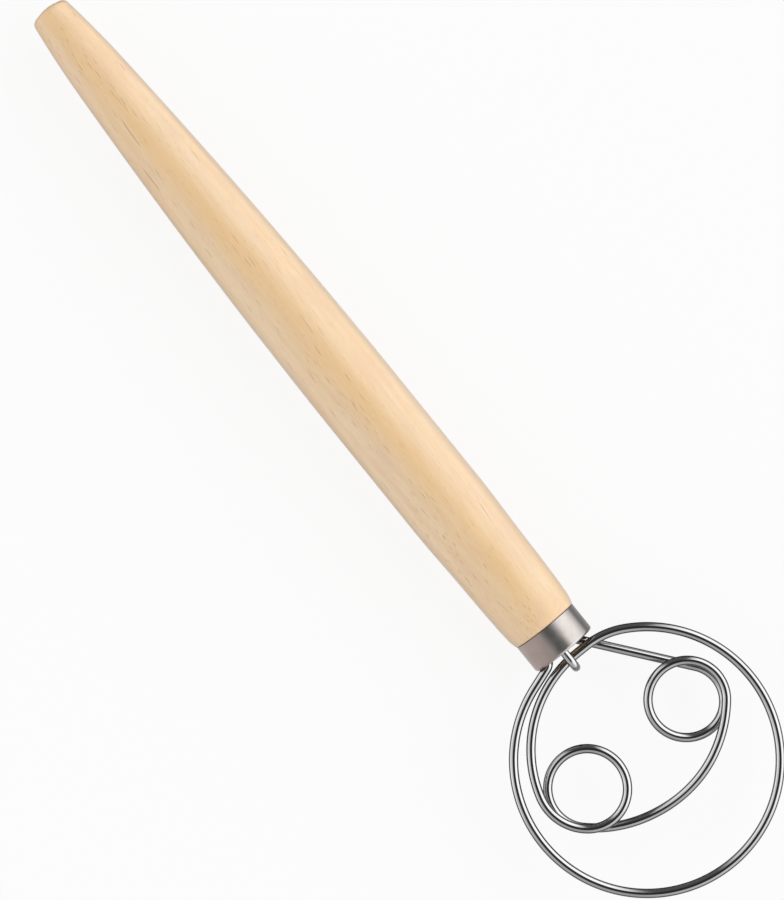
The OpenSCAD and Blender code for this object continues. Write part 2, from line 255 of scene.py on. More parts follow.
def handle_outline():
    """Outline from the middle of the tail's dome, round its edge, along the turned
    curve, over the shoulder and along the tenon to the axis."""
    edge_y = TAIL_D / 2 - TAIL_EDGE_R
    dome_r = np.linspace(0, edge_y, 8, endpoint=False)
    dome_s = -TAIL_DOME * (1 - (dome_r / edge_y) ** 2)
    a = np.radians(np.linspace(-90, 0, 12, endpoint=False))
    shoulder_from = HANDLE_LEN - 4
    shoulder_to = HANDLE_LEN - 0.1
    s = np.concatenate([np.linspace(TAIL_EDGE_R, shoulder_from, 200, endpoint=False),
                        np.linspace(shoulder_from, shoulder_to, 16)])
    rounding = 0.12
    b = np.radians(np.linspace(15, 90, 5))
    joint_r = STATIONS[-1][1] / 2
    tenon_end = HANDLE_LEN + FERRULE_LEN - RECESS
    tenon_bevel = 0.3
    along = np.concatenate([
        dome_s, TAIL_EDGE_R + TAIL_EDGE_R * np.sin(a), s,
        HANDLE_LEN - rounding + rounding * np.sin(b),
        [HANDLE_LEN, tenon_end - tenon_bevel, tenon_end, tenon_end]])
    radius = np.concatenate([
        dome_r, edge_y + TAIL_EDGE_R * np.cos(a), handle_radius(s),
        joint_r - rounding + rounding * np.cos(b),
        [TENON_R, TENON_R, TENON_R - tenon_bevel, 0]])
    return TAIL_X + along, radius


def hole_cutter(wire_start_x, y, z, wire_d):
    """Straight round bar along X, a little wider than the wire that the hole takes,
    from under the wire's end to past the tenon's face."""
    past_face = 1.0
    ends_x = (wire_start_x - HOLE_BOTTOM, TENON_X + past_face)
    centres = np.array([[x, y, z] for x in ends_x], dtype=float)
    side = np.tile([0.0, 1.0, 0.0], (2, 1))
    up = np.tile([0.0, 0.0, 1.0], (2, 1))
    return tube("hole", centres, side, up, wire_d + HOLE_CLEARANCE, HOLE_SIDES)


def cut_holes(piece, cutters):
    """Takes the cutters out of a piece and removes them from the scene."""
    for cutter in cutters:
        cut = piece.modifiers.new("hole", "BOOLEAN")
        cut.operation = "DIFFERENCE"
        cut.solver = "EXACT"
        cut.object = cutter
    graph = bpy.context.evaluated_depsgraph_get()
    done = bpy.data.meshes.new_from_object(piece.evaluated_get(graph))
    piece.modifiers.clear()
    piece.data = done
    done.name = piece.name
    for cutter in cutters:
        bpy.data.meshes.remove(cutter.data)


hook_bow_r = (WIRE_D + HOOK_D) / 2 + HOOK_GAP
hook_legs_z = (FRONT - hook_bow_r, FRONT + hook_bow_r)
hook_start_x = TENON_X - HOOK_IN_WOOD
leg_start_x = TENON_X - LEG_IN_WOOD

handle = turned("handle_turned", *handle_outline(), HANDLE_SIDES)
cut_holes(handle, [
    hole_cutter(leg_start_x, -RING_LEG_Y, FRONT, WIRE_D),
    hole_cutter(leg_start_x, STRAIGHT_LEG_Y, BACK, WIRE_D),
    hole_cutter(hook_start_x, -HOOK_OFF, hook_legs_z[0], HOOK_D),
    hole_cutter(hook_start_x, -HOOK_OFF, hook_legs_z[1], HOOK_D),
])


# Ferrule

def ferrule_outline():
    """Closed outline of the wall: outside forwards, round the curled lip with its
    rounded edge, back along the inside, and round the rear edge."""
    outer, inner = FERRULE_D / 2, FERRULE_D / 2 - FERRULE_WALL
    rear = WOOD_END_X + JOINT_GAP
    edge = 0.12
    wall_from, wall_to = rear + 0.6, -LIP_R - 0.4
    half = FERRULE_WALL / 2
    curl_end = 52.0
    a = np.radians(np.linspace(0, curl_end, 14))
    middle_r = LIP_R - half
    end_x = -LIP_R + middle_r * math.sin(a[-1])
    end_r = outer - LIP_R + middle_r * math.cos(a[-1])
    c = a[-1] + np.radians(np.linspace(0, 180, 12)[1:-1])
    small = LIP_R - FERRULE_WALL
    x = np.concatenate([
        [rear, rear + edge], np.linspace(wall_from, wall_to, 8),
        -LIP_R + LIP_R * np.sin(a), end_x + half * np.sin(c),
        -LIP_R + small * np.sin(a[::-1]), [rear + edge, rear]])
    r = np.concatenate([
        [outer - edge, outer], np.full(8, outer),
        outer - LIP_R + LIP_R * np.cos(a), end_r + half * np.cos(c),
        outer - LIP_R + small * np.cos(a[::-1]), [inner, inner + edge]])
    return x, r


ferrule = collar("ferrule_pressed", *ferrule_outline(), FERRULE_SIDES)


# Wire head

def holding_centre(c1, r1, c2, r2, r):
    """Centre of the circle of radius r that holds two circles, touching both inside."""
    v = c2 - c1
    d = np.linalg.norm(v)
    u = v / d
    d1, d2 = r - r1, r - r2
    a = (d1 * d1 - d2 * d2 + d * d) / (2 * d)
    return c1 + a * u + math.sqrt(d1 * d1 - a * a) * np.array([-u[1], u[0]])


def on_arc(centre, r, heading, sense=1):
    """Point of a circle where the path round it has this heading."""
    return centre + r * unit(heading - 90 * sense)


def bend(centre, r, h0, h1, z0=FRONT, z1=FRONT):
    """Stretch of wire round a circle, from heading h0 to h1 and height z0 to z1."""
    return ("bend", centre, r, h0, h1, z0, z1)


def run(start, end, heading, z):
    """Straight stretch of wire."""
    return ("run", np.asarray(start, float), np.asarray(end, float), heading, heading, z, z)


def wire_stretches():
    """The wire from the ring's leg round the ring, the inner curve, the lower eye, the
    big arc and the upper eye to the straight leg. Neighbouring circles touch, and the
    headings count up with every turn that the wire has made."""
    turn = 360
    ring = np.array([RING_X, -RING_OFF])
    mouth_r = FERRULE_D / 2 - LIP_R
    lip_point = np.array([0, -math.sqrt(mouth_r**2 - FRONT**2)])
    lip_pass = WIRE_D / 2 + LIP_GAP
    to_ring = ring - lip_point
    leg_heading = angle_of(to_ring) - math.degrees(
        math.asin((lip_pass + RING_R) / np.linalg.norm(to_ring)))
    ring_bend_y = -RING_LEG_Y - LEG_BEND_R
    ring_bend = np.array([
        ((LEG_BEND_R - lip_pass)
         + (ring_bend_y - lip_point[1]) * math.cos(math.radians(leg_heading)))
        / math.sin(math.radians(leg_heading)), ring_bend_y])

    close_y = -RING_OFF + math.sqrt((RING_R - CLOSE_R)**2 - (HOOK_X + CLOSE_R - RING_X)**2)
    close_centre = np.array([HOOK_X + CLOSE_R, close_y])
    close_heading = angle_of(close_centre - ring) + 90
    hook_heading = 270

    lower = np.array([RING_X - LOWER_EYE_BACK,
                      -RING_OFF - (RING_R - WIRE_D - LOWER_SPACE - LOWER_EYE_R)])
    lead_r = LOWER_EYE_R + LEAD_EXTRA
    lead = lower + (LOWER_EYE_R - lead_r) * unit(LEAD_ANGLE)
    far = lead - [HOOK_X, INNER_START_Y]
    inner_r = (far[0]**2 + far[1]**2 - lead_r**2) / (2 * (far[0] - lead_r))
    inner = np.array([HOOK_X + inner_r, INNER_START_Y])
    inner_heading = turn + 90 + angle_of(lead - inner)
    eye_heading = turn + 90 + LEAD_ANGLE

    arc_r = RING_R - ARC_TIGHTER
    upper = np.array([RING_X - UPPER_EYE_BACK,
                      -RING_OFF + RING_R - WIRE_D - UPPER_SPACE - UPPER_EYE_R])
    arc = holding_centre(lower, LOWER_EYE_R, upper, UPPER_EYE_R, arc_r)
    arc_heading = 2 * turn + 90 + angle_of(lower - arc)
    upper_heading = 2 * turn + 90 + angle_of(upper - arc)
    drop_heading = arc_heading - LOWER_DROP_TURN
    rise_start, rise_end = arc_heading + CROSSING_TURN, upper_heading - CROSSING_TURN
    upper_drop = upper_heading + UPPER_DROP_TURN

    exit_r = UPPER_EYE_R - EXIT_TIGHTER
    exit_centre = upper + (UPPER_EYE_R - exit_r) * unit(EXIT_ANGLE)
    exit_heading = 3 * turn + 90 + EXIT_ANGLE
    last_bend = np.array([-STRAIGHT_LEG_BEND_AT, STRAIGHT_LEG_Y + LEG_BEND_R])
    to_exit = exit_centre - last_bend
    leg_back = 3 * turn + 180
    last_heading = leg_back + angle_of(to_exit) + math.degrees(
        math.asin((LEG_BEND_R + exit_r) / np.linalg.norm(to_exit)))

    return [
        run([leg_start_x, -RING_LEG_Y], [ring_bend[0], -RING_LEG_Y], 0, FRONT),
        bend(ring_bend, LEG_BEND_R, 0, leg_heading),
        run(on_arc(ring_bend, LEG_BEND_R, leg_heading, -1), on_arc(ring, RING_R, leg_heading),
            leg_heading, FRONT),
        bend(ring, RING_R, leg_heading, close_heading),
        bend(close_centre, CLOSE_R, close_heading, hook_heading),
        run([HOOK_X, close_y], [HOOK_X, INNER_START_Y], hook_heading, FRONT),
        bend(inner, inner_r, hook_heading, inner_heading),
        bend(lead, lead_r, inner_heading, eye_heading),
        bend(lower, LOWER_EYE_R, eye_heading, drop_heading, FRONT, BACK),
        bend(lower, LOWER_EYE_R, drop_heading, arc_heading, BACK, BACK),
        bend(arc, arc_r, arc_heading, rise_start, BACK, BACK),
        bend(arc, arc_r, rise_start, rise_end, BACK, FRONT),
        bend(arc, arc_r, rise_end, upper_heading),
        bend(upper, UPPER_EYE_R, upper_heading, upper_drop),
        bend(upper, UPPER_EYE_R, upper_drop, exit_heading, FRONT, BACK),
        bend(exit_centre, exit_r, exit_heading, last_heading, BACK, BACK),
        run(on_arc(exit_centre, exit_r, last_heading),
            on_arc(last_bend, LEG_BEND_R, last_heading, -1), last_heading, BACK),
        bend(last_bend, LEG_BEND_R, last_heading, leg_back, BACK, BACK),
        run([-STRAIGHT_LEG_BEND_AT, STRAIGHT_LEG_Y], [leg_start_x, STRAIGHT_LEG_Y], leg_back,
            BACK),
    ]


def sample(stretch, longest_step=1.1, widest_turn=3.0):
    """Points, headings and climb angles of a stretch at shares t: the place is on the
    circle or the line, and the height is z0 + (z1 - z0)(1 - cos(pi t)) / 2."""
    kind, a, b, h0, h1, z0, z1 = stretch
    length = np.linalg.norm(b - a) if kind == "run" else math.radians(abs(h1 - h0)) * b
    count = 1 if kind == "run" else max(
        math.ceil(length / longest_step), math.ceil(abs(h1 - h0) / widest_turn))
    t = np.arange(count) / count
    heading = h0 + (h1 - h0) * t
    if kind == "run":
        flat = a + (b - a) * t[:, None]
    else:
        at = np.radians(heading - 90 * (1 if h1 >= h0 else -1))
        flat = a + b * np.stack([np.cos(at), np.sin(at)], -1)
    height = z0 + (z1 - z0) * (1 - np.cos(np.pi * t)) / 2
    climb = np.arctan((z1 - z0) * np.pi / 2 * np.sin(np.pi * t) / length)
    return np.column_stack([flat, height]), np.radians(heading), climb


def wire_route():
    """Centre line of the whole wire, with its side and up directions."""
    stretches = wire_stretches()
    parts = [sample(s) for s in stretches]
    last = stretches[-1]
    parts.append((np.array([[*last[2], last[6]]]), np.radians([last[4]]), np.zeros(1)))
    centres = np.concatenate([p[0] for p in parts])
    h = np.concatenate([p[1] for p in parts])
    c = np.concatenate([p[2] for p in parts])
    side = np.stack([-np.sin(h), np.cos(h), 0 * h], -1)
    up = np.stack([-np.cos(h) * np.sin(c), -np.sin(h) * np.sin(c), np.cos(c)], -1)
    return centres, side, up


wire_head = tube("wire_head_bent", *wire_route(), WIRE_D, WIRE_SIDES)


# Hook

def hook_route():
    """Staple in the plane Y = -HOOK_OFF: a leg forwards, a half circle round the ring's
    wire, and a leg back."""
    a = np.radians(np.linspace(-90, 90, 37))
    x = np.concatenate([[hook_start_x], HOOK_X + hook_bow_r * np.cos(a), [hook_start_x]])
    z = np.concatenate([[hook_legs_z[0]], FRONT + hook_bow_r * np.sin(a), [hook_legs_z[1]]])
    a = np.concatenate([a[:1], a, a[-1:]])
    centres = np.stack([x, np.full(len(x), -HOOK_OFF), z], -1)
    side = np.tile([0.0, 1.0, 0.0], (len(x), 1))
    up = np.stack([-np.cos(a), 0 * a, -np.sin(a)], -1)
    return centres, side, up


hook = tube("hook_bent", *hook_route(), HOOK_D, WIRE_SIDES)


# Materials

def srgb(r, g, b):
    """Colour from 0 to 255 values as a picture shows it, in linear light."""
    c = np.array([r, g, b]) / 255
    linear = np.where(c <= 0.04045, c / 12.92, ((c + 0.055) / 1.055) ** 2.4)
    return (*linear.tolist(), 1.0)


def darker(colour, share):
    """The colour with its light cut to a share."""
    return (*(c * share for c in colour[:3]), 1.0)


WHITE = (1.0, 1.0, 1.0, 1.0)

# Sockets of Blender's Mix node when it mixes colours
MIX_A, MIX_B, MIX_RESULT = 6, 7, 2


class Tree:
    """Short way to add nodes: each call gives the node's first output, or its own."""

    def __init__(self, nodes, links):
        self.nodes, self.links = nodes, links

    def put(self, socket, value):
        """Links a socket to another, or sets its value; None leaves it as it is."""
        if isinstance(value, bpy.types.NodeSocket):
            self.links.new(value, socket)
        elif value is not None:
            socket.default_value = value

    def add(self, kind, values=(), **settings):
        """Node of a kind, its inputs given in order or by name, with its settings."""
        node = self.nodes.new("ShaderNode" + kind)
        for key, value in settings.items():
            setattr(node, key, value)
        items = values.items() if isinstance(values, dict) else enumerate(values)
        for key, value in items:
            self.put(node.inputs[key], value)
        return node

    def math(self, operation, a, b=None, c=None):
        """Result of a Math node on up to three values."""
        return self.add("Math", (a, b, c), operation=operation).outputs[0]

    def scale(self, vector, by):
        """The vector with each of its parts multiplied by that part of another."""
        return self.add("VectorMath", (vector, by), operation="MULTIPLY").outputs[0]

    def noise(self, vector, scale, detail=2.0, roughness=0.5, distortion=0.0):
        """Even noise with so many cells in a metre."""
        node = self.add("TexNoise", {"Vector": vector, "Scale": scale, "Detail": detail,
                                     "Roughness": roughness, "Distortion": distortion})
        return node.outputs["Fac"]

    def grain_noise(self, vector, along, across, *settings):
        """Noise with so many cells in a metre along the handle and across it."""
        return self.noise(self.scale(vector, (along, across, across)), 1.0, *settings)

    def between(self, value, low, high, to_low=0.0, to_high=1.0):
        """Smooth step of a value from low to high."""
        return self.add("MapRange", (value, low, high, to_low, to_high),
                        interpolation_type="SMOOTHSTEP").outputs[0]

    def mix(self, share, a, b, blend="MIX"):
        """Colour a with a share of colour b laid over it."""
        node = self.add("Mix", (share,), data_type="RGBA", blend_type=blend)
        self.put(node.inputs[MIX_A], a)
        self.put(node.inputs[MIX_B], b)
        return node.outputs[MIX_RESULT]

    def ramp(self, value, stops):
        """Value read off a line through (place, level) pairs."""
        node = self.add("ValToRGB", (value,))
        elements = node.color_ramp.elements
        while len(elements) < len(stops):
            elements.new(1.0)
        for element, (place, level) in zip(elements, stops):
            element.position = place
            element.color = (level, level, level, 1.0)
        return node.outputs[0]

    def group(self, group, **values):
        """Outputs of a node group that is placed with these values."""
        return self.add("Group", values, node_tree=group).outputs


def new_group(name, inputs, outputs):
    """Empty node group with its tree, its given values and the places for its results.
    Sockets come as pairs of label and kind, Float or Vector."""
    group = bpy.data.node_groups.new(name, "ShaderNodeTree")
    for label, kind in inputs:
        group.interface.new_socket(label, in_out="INPUT", socket_type="NodeSocket" + kind)
    for label, kind in outputs:
        group.interface.new_socket(label, in_out="OUTPUT", socket_type="NodeSocket" + kind)
    tree = Tree(group.nodes, group.links)
    given = tree.nodes.new("NodeGroupInput").outputs
    made = tree.nodes.new("NodeGroupOutput").inputs
    return group, tree, given, made


def new_material(name):
    """Material with one Principled shader, and its tree."""
    material = bpy.data.materials.new(name)
    material.use_nodes = True
    nodes = material.node_tree.nodes
    tree = Tree(nodes, material.node_tree.links)
    return material, tree, nodes["Principled BSDF"]


def surface_wear():
    """Group for uneven handling marks and dust: a broad soft mask and a fine one."""
    group, tree, given, made = new_group(
        "surface wear", [("Place", "Vector"), ("Size", "Float")],
        [("Broad", "Float"), ("Fine", "Float")])
    broad = tree.noise(given["Place"], given["Size"], 3.0, 0.55)
    fine = tree.noise(given["Place"], tree.math("MULTIPLY", given["Size"], 9.0), 2.0, 0.6)
    tree.put(made["Broad"], tree.between(broad, 0.35, 0.68))
    tree.put(made["Fine"], fine)
    return group


def drawn_lines():
    """Group for the fine lines that drawing leaves along a wire: noise on a cylinder
    whose length is the map's millimetres, squeezed, and whose angle is its turns."""
    squeeze = 0.02
    group, tree, given, made = new_group(
        "drawn lines", [("Map", "Vector")], [("Lines", "Float")])
    apart = tree.add("SeparateXYZ", (given["Map"],)).outputs
    angle = tree.math("MULTIPLY", apart[1], 2 * math.pi)
    on_cylinder = tree.add("CombineXYZ", (
        tree.math("MULTIPLY", apart[0], squeeze),
        tree.math("COSINE", angle), tree.math("SINE", angle))).outputs[0]
    tree.put(made["Lines"], tree.noise(on_cylinder, 9.0, 4.0, 0.65))
    return group


wear_group = surface_wear()
lines_group = drawn_lines()


def wire_material(name, base, roughness, streak, painted_edge_shade):
    """Bright drawn wire: fine lines from drawing run along it, it is mirror-bright where it
    faces the eye and its colour is painted darker towards the edge, a painted dark reflection
    at the rim, and handling dulls it in places."""
    material, tree, shader = new_material(name)
    coordinates = tree.nodes.new("ShaderNodeTexCoord").outputs
    lines = tree.group(lines_group, Map=coordinates["UV"])["Lines"]
    wear = tree.group(wear_group, Place=coordinates["Object"], Size=55.0)
    edge = tree.nodes.new("ShaderNodeLayerWeight").outputs["Facing"]
    tone = tree.mix(tree.between(lines, 0.3, 0.75), base, darker(base, 0.86))
    # Painted shade: the colour darkens towards the wire's outline as the eye sees it, a
    # painted dark reflection at the rim.
    tone = tree.mix(tree.between(edge, 0.23, 0.44), tone, darker(base, painted_edge_shade))
    tree.put(shader.inputs["Base Color"], tone)
    shader.inputs["Metallic"].default_value = 1.0
    rough = tree.math("MULTIPLY_ADD", wear["Broad"], 0.05, roughness)
    rough = tree.math("MULTIPLY_ADD", lines, 0.06, rough)
    tree.put(shader.inputs["Roughness"], rough)
    bump = tree.add("Bump", {"Strength": streak, "Distance": 0.04 * MM, "Height": lines})
    tree.put(shader.inputs["Normal"], bump.outputs[0])
    return material


def ferrule_material():
    """Satin pressed steel: faint polishing lines round it, soft cloudy spots, a rear edge
    darkened partly by dirt and partly by painted shade from the joint, a painted highlight
    along the lip, a painted warm reflection on one side, and painted dark shade at the rim
    on the other side, darker towards the outline as the eye sees it."""
    satin = (0.46, 0.425, 0.405, 1.0)
    cloud = (0.36, 0.342, 0.325, 1.0)
    polished = (0.48, 0.46, 0.44, 1.0)
    soil_and_joint_shade = (0.10, 0.075, 0.055, 1.0)
    lip_highlight = (0.62, 0.61, 0.60, 1.0)
    warm = (0.87, 0.75, 0.72, 1.0)
    painted_rim_shade_colour = (0.09, 0.087, 0.086, 1.0)
    rear = (WOOD_END_X + JOINT_GAP + REST_SHIFT[0]) * MM
    mouth = REST_SHIFT[0] * MM

    material, tree, shader = new_material("ferrule satin steel")
    place = tree.nodes.new("ShaderNodeTexCoord").outputs["Object"]
    apart = tree.add("SeparateXYZ", (place,)).outputs
    round_lines = tree.noise(tree.scale(place, (1.0, 0.06, 0.06)), 5200.0, 3.0, 0.7)
    wear = tree.group(wear_group, Place=place, Size=170.0)
    edge = tree.nodes.new("ShaderNodeLayerWeight").outputs["Facing"]

    tone = tree.mix(tree.math("MULTIPLY", wear["Broad"], 0.5), satin, cloud)
    tone = tree.mix(tree.between(round_lines, 0.3, 0.75, 0.0, 0.2), tone, polished)
    # Rear edge at the joint: darker colour, partly dirt and partly painted shade from the
    # joint.
    tone = tree.mix(tree.between(apart[0], rear, rear + 0.3 * MM, 0.4, 0.0), tone, soil_and_joint_shade)
    # Painted highlight: a brighter band along the curled lip.
    lip_highlight_share = tree.between(apart[0], mouth - LIP_R * MM, mouth - 0.4 * MM, 0.0, 0.6)
    tone = tree.mix(lip_highlight_share, tone, lip_highlight)
    # Painted warm reflection: the side towards -Y is tinted warm.
    painted_warm_side = tree.between(apart[1], -3.5 * MM, 0.5 * MM, 1.0, 0.0)
    tone = tree.mix(painted_warm_side, tone, warm, "MULTIPLY")
    # Painted shade: darker towards the outline as the eye sees it, on the +Y side.
    painted_rim_shade = tree.math("MULTIPLY", tree.between(edge, 0.32, 0.50, 0.0, 0.85),
                       tree.between(apart[1], 4 * MM, 7 * MM))
    tree.put(shader.inputs["Base Color"], tree.mix(painted_rim_shade, tone, painted_rim_shade_colour))

    shader.inputs["Metallic"].default_value = 1.0
    rough = tree.math("MULTIPLY_ADD", wear["Broad"], 0.08, 0.27)
    tree.put(shader.inputs["Roughness"], tree.math("MULTIPLY_ADD", round_lines, 0.08, rough))
    height = tree.math("MULTIPLY_ADD", wear["Fine"], 0.5, round_lines)
    bump = tree.add("Bump", {"Strength": 0.10, "Distance": 0.02 * MM, "Height": height})
    tree.put(shader.inputs["Normal"], bump.outputs[0])
    return material


def growth_lines(tree, grain):
    """Late wood of the growth rings: the distance from the tree's pith, a little warped,
    times the rings in a metre, and of its fraction the last half, rising smoothly."""
    pith_aside = 12 * MM
    pith_below = 75 * MM
    rings_per_metre = 310.0
    warp = tree.grain_noise(grain, 14.0, 90.0)
    apart = tree.add("SeparateXYZ", (grain,)).outputs
    off_y = tree.math("ADD", apart[1], pith_aside)
    off_z = tree.math("ADD", apart[2], pith_below)
    distance = tree.math("SQRT", tree.math(
        "ADD", tree.math("MULTIPLY", off_y, off_y), tree.math("MULTIPLY", off_z, off_z)))
    distance = tree.math("MULTIPLY_ADD", warp, 4 * MM, distance)
    share = tree.math("FRACT", tree.math("MULTIPLY", distance, rings_per_metre))
    return tree.between(share, 0.45, 0.97)


def painted_top_shade_stripe(tree, place, bands):
    """Painted shade in gold along the top of the handle, for the duller middle where the coat
    mirrors the dark overhead: its middle line leans across the handle and wavers with the
    broad bands, and it fades from 1 mm to 6 mm off that line."""
    middle_y = 8.5 * MM
    lean = -0.018
    waver = 12 * MM
    apart = tree.add("SeparateXYZ", (place,)).outputs
    across = tree.math("MULTIPLY_ADD", apart[0], lean, apart[1])
    across = tree.math("MULTIPLY_ADD", bands, waver, across)
    off = tree.math("ABSOLUTE", tree.math("SUBTRACT", across, middle_y))
    return tree.between(off, 1 * MM, 6 * MM, 1.0, 0.0)


def dashes(tree, grain, long_mm, apart_mm, size, seed):
    """Marks along the grain: spheres round scattered points in a space that is
    squeezed along the handle, cut by the surface."""
    squeeze = (1000 / long_mm, 1000 / apart_mm, 1000 / apart_mm)
    shift = (seed, seed * 1.7, seed * 2.3)
    squeezed = tree.add("VectorMath", (tree.scale(grain, squeeze), shift),
                        operation="ADD").outputs[0]
    cells = tree.add("TexVoronoi", {"Vector": squeezed, "Scale": 1.0, "Randomness": 1.0},
                     feature="F1")
    return tree.between(cells.outputs["Distance"], size * 0.4, size, 1.0, 0.0)


def wood_material():
    """Pale sanded wood, oiled thin. From broad to fine: warm bands along the handle,
    growth lines, fibres, short brown pore marks in loose groups, and a few long lines.
    Over them lie a painted shade stripe in gold along the top, a dark line at the joint that
    is partly glue and dirt and partly painted shadow, and painted grey shade towards the
    outline as the eye sees it."""
    cream = srgb(246, 218, 182)
    rose = srgb(240, 208, 176)
    gold_tone_and_top_shade = srgb(246, 205, 148)
    late_wood = srgb(226, 182, 128)
    fibre = srgb(228, 190, 140)
    pale_hair = srgb(253, 234, 206)
    small_pore = srgb(212, 164, 104)
    pore = srgb(176, 124, 70)
    dark_line = srgb(150, 100, 56)
    end_grain = srgb(226, 178, 132)
    joint_dirt_and_shade = srgb(120, 78, 44)
    painted_outline_shade = srgb(150, 128, 108)
    tail = (TAIL_X - TAIL_DOME + REST_SHIFT[0]) * MM
    joint = (WOOD_END_X + REST_SHIFT[0]) * MM

    material, tree, shader = new_material("pale turned wood")
    place = tree.nodes.new("ShaderNodeTexCoord").outputs["Object"]
    x_of, y_of = tree.add("SeparateXYZ", (place,)).outputs[:2]
    grain = tree.add("Mapping", {"Vector": place, "Rotation": (0.0, 0.03, 0.05)}).outputs[0]
    bands = tree.grain_noise(grain, 11.0, 120.0, 3.0, 0.55, 0.4)
    patches = tree.grain_noise(grain, 45.0, 190.0, 3.0, 0.6, 0.3)
    fibres = tree.grain_noise(grain, 60.0, 2100.0, 3.0, 0.65)
    hairs = tree.grain_noise(grain, 150.0, 5200.0, 2.0, 0.6)
    groups = tree.grain_noise(grain, 34.0, 240.0, 2.0, 0.6)
    # Random warm bands, and the painted shade stripe along the top, in gold.
    bands_and_painted_top_shade = tree.math("MULTIPLY_ADD", tree.between(bands, 0.34, 0.66), 0.4,
                     tree.math("MULTIPLY", painted_top_shade_stripe(tree, place, bands), 0.5))
    pores = tree.math("MULTIPLY", dashes(tree, grain, 14.0, 0.50, 0.22, 3.1),
                      tree.between(groups, 0.40, 0.56))
    pores = tree.math("MULTIPLY", pores, tree.between(y_of, -1 * MM, 8 * MM, 1.0, 0.35))
    small_pores = dashes(tree, grain, 5.0, 0.60, 0.22, 7.7)
    long_lines = tree.math("MULTIPLY", dashes(tree, grain, 75.0, 2.2, 0.09, 12.9),
                           tree.between(fibres, 0.35, 0.6, 0.4, 1.0))
    edge = tree.nodes.new("ShaderNodeLayerWeight").outputs["Facing"]

    layers = [
        (tree.between(patches, 0.42, 0.66), rose),
        (bands_and_painted_top_shade, gold_tone_and_top_shade),
        (tree.math("MULTIPLY", growth_lines(tree, grain), 0.16), late_wood),
        (tree.between(fibres, 0.3, 0.7, 0.0, 0.30), fibre),
        (tree.between(hairs, 0.35, 0.7, 0.0, 0.15), pale_hair),
        (tree.math("MULTIPLY", small_pores, 0.35), small_pore),
        (tree.math("MULTIPLY", pores, 0.8), pore),
        (tree.math("MULTIPLY", long_lines, 0.8), dark_line),
        (tree.between(x_of, tail, tail + 2.5 * MM, 0.35, 0.0), end_grain),
        # Dark line at the joint: partly glue and dirt, partly painted shadow in the groove.
        (tree.between(x_of, joint - 0.3 * MM, joint - 0.1 * MM, 0.0, 0.4), joint_dirt_and_shade),
        # Painted shade: grey towards the handle's outline as the eye sees it.
        (tree.between(edge, 0.36, 0.82, 0.0, 0.50), painted_outline_shade),
    ]
    tone = cream
    for share, colour in layers:
        tone = tree.mix(share, tone, colour)
    tree.put(shader.inputs["Base Color"], tone)

    rough = tree.between(bands, 0.3, 0.7, 0.38, 0.46)
    tree.put(shader.inputs["Roughness"], tree.math("MULTIPLY_ADD", pores, 0.25, rough))
    height = tree.math("MULTIPLY_ADD", fibres, 0.35, tree.math("MULTIPLY", hairs, 0.25))
    height = tree.math("SUBTRACT", height, tree.math("MULTIPLY", pores, 0.3))
    height = tree.math("SUBTRACT", height, tree.math("MULTIPLY", small_pores, 0.2))
    bump = tree.add("Bump", {"Strength": 0.35, "Distance": 0.08 * MM, "Height": height})
    tree.put(shader.inputs["Normal"], bump.outputs[0])
    shader.inputs["Coat Weight"].default_value = 0.25
    shader.inputs["Coat Roughness"].default_value = 0.38
    return material


def dress(piece, material, node):
    """Gives a piece its material and puts it in the place of a CAD node."""
    piece.data.materials.clear()
    piece.data.materials.append(material)
    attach(piece, "root")
    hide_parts(node)


wire_steel = wire_material("bright drawn wire", (0.52, 0.52, 0.52, 1.0), 0.035, 0.08, 0.07)
hook_steel = wire_material("bright hook wire", (0.56, 0.56, 0.555, 1.0), 0.16, 0.15, 0.35)
dress(handle, wood_material(), "handle")
dress(ferrule, ferrule_material(), "ferrule")
dress(wire_head, wire_steel, "wire_head")
dress(hook, hook_steel, "hook")


# Floor, studio surround and camera

# Azimuth of the picture's right side in the tool's own frame, in degrees
PICTURE_RIGHT = 51.076
# How much of what the camera sees of the floor is even white; the rest takes the shadow
FLOOR_GLOW = 0.88
# Brightness round the horizon, by azimuth in degrees from the picture's right
AROUND = [(-180, 0.95), (-168, 1.14), (-155, 0.92), (-140, 0.76), (-115, 0.68),
          (-100, 0.60), (-88, 0.58), (-75, 0.74), (-50, 1.02), (-35, 1.25), (-20, 1.75),
          (-5, 1.95), (66, 1.95), (73, 1.5), (79, 0.75), (84, 0.14), (88, 0.09),
          (121, 0.09), (127, 0.5), (133, 1.0), (142, 1.15), (165, 1.15), (180, 0.95)]
# Extra brightness close to the horizon on the picture's left
LOW_GLOW = [(-180, 0.9), (-150, 0.7), (-135, 0.0), (128, 0.0), (145, 0.7), (180, 0.9)]
# Brightness below the horizon, which stands for the floor in mirroring metal
BELOW = [(-180, 0.95), (66, 0.95), (76, 0.23), (121, 0.23), (130, 0.95), (180, 0.95)]
BRIGHTEST = 2.5
LEAST_LIGHT = 0.045


